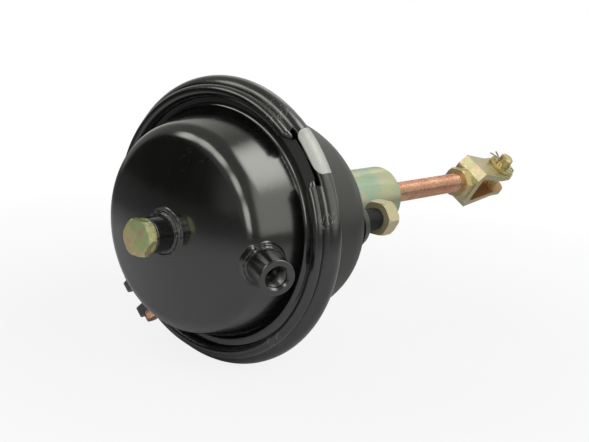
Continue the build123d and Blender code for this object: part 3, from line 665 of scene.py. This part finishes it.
def relief_band(name):
    """Crest and upper front of the clamp ring, pressed thin, where the relief crosses it."""
    rows = []
    for step in range(BAND_STEPS + 1):
        turn = RELIEF_TURN + (step / BAND_STEPS - 0.5) * (RELIEF_SPAN + 2 * BAND_TUCK)
        front = band_edge(turn)
        leans = [BAND_BACK - column / BAND_COLUMNS * (BAND_BACK + front)
                 for column in range(BAND_COLUMNS + 1)]
        outside = [ring_place(turn, lean, BAND_INSET) for lean in leans]
        inside = [ring_place(turn, lean, BAND_SHEET) for lean in reversed(leans)]
        lip_reach = (BAND_SHEET - BAND_INSET) / 2
        lip_middle = (outside[-1] + inside[0]) / 2
        outward = (outside[-1] - inside[0]).normalized()
        onward = (outside[-1] - outside[-2]).normalized()
        lip = [lip_middle + spoke(outward, onward, math.pi * part / LIP_COLUMNS) * lip_reach
               for part in range(1, LIP_COLUMNS)]
        rows.append(outside + lip + inside)
    piece(name, rows, RING_BLACK, "chamber", ends=True)


def bead_nose(name, end):
    """Tapered end of the ring's rolled bead, running up to the relief band."""
    rows = []
    for step in range(NOSE_STEPS + 1):
        share = step / NOSE_STEPS
        turn = RELIEF_TURN + end * (RELIEF_SPAN / 2 + NOSE_TUCK - share * (NOSE_SPAN + NOSE_TUCK))
        reach = BEAD_R * math.sqrt(1 - share ** 2 * NOSE_TAPER) - BAND_INSET
        middle = radial(turn) * (BEAD_MIDDLE[1] + share ** 2 * NOSE_RISE[1])
        middle.x = BEAD_MIDDLE[0] + share ** 2 * NOSE_RISE[0]
        rows.append(round_row(middle, radial(turn), -FRONT, reach, NOSE_COLUMNS))
    piece(name, rows, RING_BLACK, "chamber", ends=True)


def plate_skin(depth):
    """Rows of points along the bare plate, this far under the ring's outside."""
    rows = []
    for step in range(PLATE_STEPS + 1):
        turn = PLATE_TURNS[0] + (PLATE_TURNS[1] - PLATE_TURNS[0]) * step / PLATE_STEPS
        corner = max(0, 1 - (turn - PLATE_TURNS[0]) / PLATE_CORNERS[0],
                     1 - (PLATE_TURNS[1] - turn) / PLATE_CORNERS[1])
        wrap = PLATE_WRAP * (1 - PLATE_ROUND * (1 - math.sqrt(max(0, 1 - corner ** 2))))
        rows.append([ring_place(turn, PLATE_BACK - wrap * column / PLATE_COLUMNS, depth)
                     for column in range(PLATE_COLUMNS + 1)])
    return rows


def bare_plate(name):
    """Blank silver plate that wraps the clamp ring's rounded crest over the relief."""
    rows = [top + list(reversed(under))
            for top, under in zip(plate_skin(-PLATE_THICK), plate_skin(BAND_INSET))]
    piece(name, rows, PLATE_SILVER, "chamber", ends=True)


def coil_spring(name):
    """Conical return spring of round wire with closed ends, riding with the piston."""
    low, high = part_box("return_spring")
    length = high.x - low.x - 2 * WIRE_R
    count = SPRING_TURNS * SPRING_STEPS
    rows = []
    for step in range(count + 1):
        share = step / count
        rise = min(1, max(0, (share - SPRING_CLOSED) / (1 - 2 * SPRING_CLOSED)))
        out = radial(2 * math.pi * SPRING_TURNS * share)
        middle = out * (SPRING_START_R + (SPRING_END_R - SPRING_START_R) * share)
        middle.x = low.x + WIRE_R + length * rise
        rows.append(round_row(middle, out, FRONT, WIRE_R, WIRE_SIDES))
    made = piece(name, rows, SPRING_STEEL, "piston", ends=True)
    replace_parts(made, "return_spring")
    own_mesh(made)


def rolling_diaphragm(name):
    """Rubber diaphragm in its moulded shape, a copy of the CAD part's mesh."""
    made = add_object(name, nodes["diaphragm"].data.copy())
    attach(made, "chamber")
    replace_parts(made, "diaphragm")
    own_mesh(made)


cup_skin = surface("pressure_housing")
weld_bead("centre_port_weld", CENTRE_BASE, FRONT, CENTRE_WELD_R)
weld_bead("side_port_weld", PORT_BASE, PORT_DIR, SIDE_WELD_R)
thread("side_port_thread", PORT_BASE + PORT_DIR * PORT_REACH, PORT_DIR, PORT_THREAD, BORE_RADII,
       CUT_STEEL, "chamber")
for side, label in ((1, "near"), (-1, "far")):
    stud = NEAR * (side * STUD_HALF)
    thread(label + "_stud_thread", stud, -FRONT, STUD_SHANK, SHANK_RADII,
           STUD_BLACK, "chamber")
    thread(label + "_stud_tip_thread", stud, -FRONT, STUD_TIP, TIP_RADII,
           STUD_BLACK, "chamber")
thread("rod_thread", on_rod(0), ROD_DIR, ROD_THREAD, SHANK_RADII,
       ROD_COPPER, "rod", smooth=True)
relief_band("relief_band")
bead_nose("upper_bead_nose", -1)
bead_nose("lower_bead_nose", 1)
bare_plate("bare_plate")
coil_spring("coil_spring")
rolling_diaphragm("rolling_diaphragm")


# ---------------------------------------------------------------- studio
FILL = 0.30                     # world's light on rough surfaces
WALL_SHADE = 0.28
WALL_TINT = (1.0, 1.01, 0.93)
WALL_PATCHES = (                # (azimuth, elevation), inner and outer edge in degrees, shade
    ((15, 12), 38, 60, 0.70),
    ((-74, 18), 22, 46, 1.20),
    ((-50, 56), 4, 28, 3.8),
    ((130, 2), 24, 40, 0.03),
    ((27, 34), 4, 12, 1.8),
    ((128, 40), 3, 12, 3.4),
    ((150, 47), 3, 12, 3.4),
    ((172, 43), 3, 12, 3.4),
    ((-166, 29), 3, 12, 3.4),
    ((-154, 10), 3, 12, 3.6),
    ((-150, -2), 3, 10, 3.6),
)
FLOOR_SIZE = 12
FLOOR_GAP = 0.0005              # between the floor and the object
FLOOR_SHADE = 0.72
FLOOR_ROUGHNESS = 0.9
FLOOR_SHINE = 0.1
SHADOW_NEAR = (0.20, 0.86)      # distance from the middle, share of pure white
SHADOW_FAR = (0.55, 1.0)
PAINTED_POOL_NEAR = (0.40, 0)           # distance from the middle, share of the painted darker floor beyond the pool of light
PAINTED_POOL_FAR = (0.75, 1)
PAINTED_FAR_SHADE = 0.2
MIDDLE = Vector((-0.05, 0, 0))  # what the lamps face
LAMPS = (                       # name, (azimuth, elevation, distance), size, brightness
    ("near_softbox", (-108, 40, 1.4), (1.6, 1.0), 2.4),
    ("far_softbox", (120, 55, 1.4), (0.7, 0.7), 1.5),
)


def toward(azimuth, elevation, distance=1):
    """Point at this distance, by compass angle from +X towards +Y and height angle in degrees."""
    turn, rise = math.radians(azimuth), math.radians(elevation)
    level = distance * math.cos(rise)
    return Vector((level * math.cos(turn), level * math.sin(turn), distance * math.sin(rise)))


def lamp(name, place, size, radiance):
    """Rectangular softbox of one brightness, white paper in plain light being 1."""
    data = bpy.data.lights.new(name, "AREA")
    data.shape = "RECTANGLE"
    data.size, data.size_y = size
    data.energy = radiance * math.pi * size[0] * size[1]
    made = add_object(name, data)
    made.location = MIDDLE + place
    made.rotation_euler = (MIDDLE - made.location).to_track_quat("-Z", "Y").to_euler()
    made.visible_camera = False
    made.visible_glossy = False


def wall_color(level):
    """Slightly warm white of the studio's walls at this brightness."""
    return shaded(WALL_TINT, level)


def studio_walls(sky):
    """What the paint and metal reflect: grey walls with pale patches and one dark side."""
    direction = sky.node("ShaderNodeTexCoord").outputs["Generated"]
    shade = wall_color(WALL_SHADE)
    for middle, inner, outer, level in WALL_PATCHES:
        facing = sky.vector("DOT_PRODUCT", direction, toward(*middle)).outputs["Value"]
        dark, full = (math.cos(math.radians(edge)) for edge in (outer, inner))
        share = sky.ramp(facing, (dark, 0), (full, 1), "SMOOTHSTEP")
        shade = sky.mix(share, shade, wall_color(level))
    return shade


def pale_world():
    """White to the camera, studio walls in reflections, and a soft grey fill on the rest."""
    world = bpy.data.worlds.new("studio")
    bpy.context.scene.world = world
    world.use_nodes = True
    sky = Shading(world.node_tree)
    fill = sky.tree.nodes["Background"]
    sky.feed(fill.inputs["Color"], (*grey(FILL), 1))
    walls = sky.node("ShaderNodeBackground", Color=studio_walls(sky))
    white = sky.node("ShaderNodeBackground", Color=(*grey(1), 1))
    rays = sky.node("ShaderNodeLightPath").outputs
    reflected = sky.calc(rays["Is Glossy Ray"], rays["Is Transmission Ray"], "MAXIMUM")
    unseen = sky.blend(reflected, fill, walls)
    whole = sky.blend(rays["Is Camera Ray"], unseen, white)
    sky.feed(sky.tree.nodes["World Output"].inputs["Surface"], whole.outputs[0])


def pale_floor(height):
    """White floor that keeps a light shadow under the object and fades to pure white, with a painted
    pool of light: its colour darkens away from the middle.
    """
    half = FLOOR_SIZE / 2
    corners = ((-half, -half, 0), (half, -half, 0), (half, half, 0), (-half, half, 0))
    made = add_object("floor", bpy.data.meshes.new("floor"))
    made.data.from_pydata(corners, [], [(0, 1, 2, 3)])
    made.location = (0, 0, height)
    white = Finish("floor_white", grey(FLOOR_SHADE), FLOOR_ROUGHNESS, Specular_IOR_Level=FLOOR_SHINE)
    away = white.vector("LENGTH", white.place).outputs["Value"]
    # Painted pool of light: the floor's colour darkens away from the middle.
    painted_pool = white.ramp(away, PAINTED_POOL_NEAR, PAINTED_POOL_FAR)
    white.set("Base Color", white.mix(painted_pool, grey(FLOOR_SHADE), grey(PAINTED_FAR_SHADE)))
    rays = white.node("ShaderNodeLightPath").outputs
    share = white.calc(white.ramp(away, SHADOW_NEAR, SHADOW_FAR), rays["Is Camera Ray"])
    whole = white.blend(share, white.shader, white.node("ShaderNodeEmission"))
    white.feed(white.tree.nodes["Material Output"].inputs["Surface"], whole.outputs[0])
    made.data.materials.append(white.material)


pale_world()
pale_floor(cad_low.z - FLOOR_GAP)
for name, place, size, radiance in LAMPS:
    lamp(name, toward(*place), size, radiance)

# ---------------------------------------------------------------- camera, fitted to the photo
CAMERA_PLACE = (-0.7323395, -0.6066049, 0.2102500)
CAMERA_FORWARD = Vector((0.7539193, 0.6172170, -0.2250531))
CAMERA_UP = Vector((0.1345711, 0.1902135, 0.9724759))
FOCAL_PIXELS = 1300
PICTURE_WIDTH = 589
SENSOR_WIDTH = 36
CLIP_NEAR = 0.01
CLIP_FAR = 50

camera = add_object("camera", bpy.data.cameras.new("camera"))
bpy.context.scene.camera = camera
camera_right = CAMERA_FORWARD.cross(CAMERA_UP)
turned = Matrix((camera_right, CAMERA_UP, -CAMERA_FORWARD)).transposed().to_4x4()
camera.matrix_world = Matrix.Translation(CAMERA_PLACE) @ turned
camera.data.sensor_width = SENSOR_WIDTH
camera.data.lens = FOCAL_PIXELS / PICTURE_WIDTH * SENSOR_WIDTH
camera.data.clip_start = CLIP_NEAR
camera.data.clip_end = CLIP_FAR

bpy.context.scene.view_settings.view_transform = "Standard"
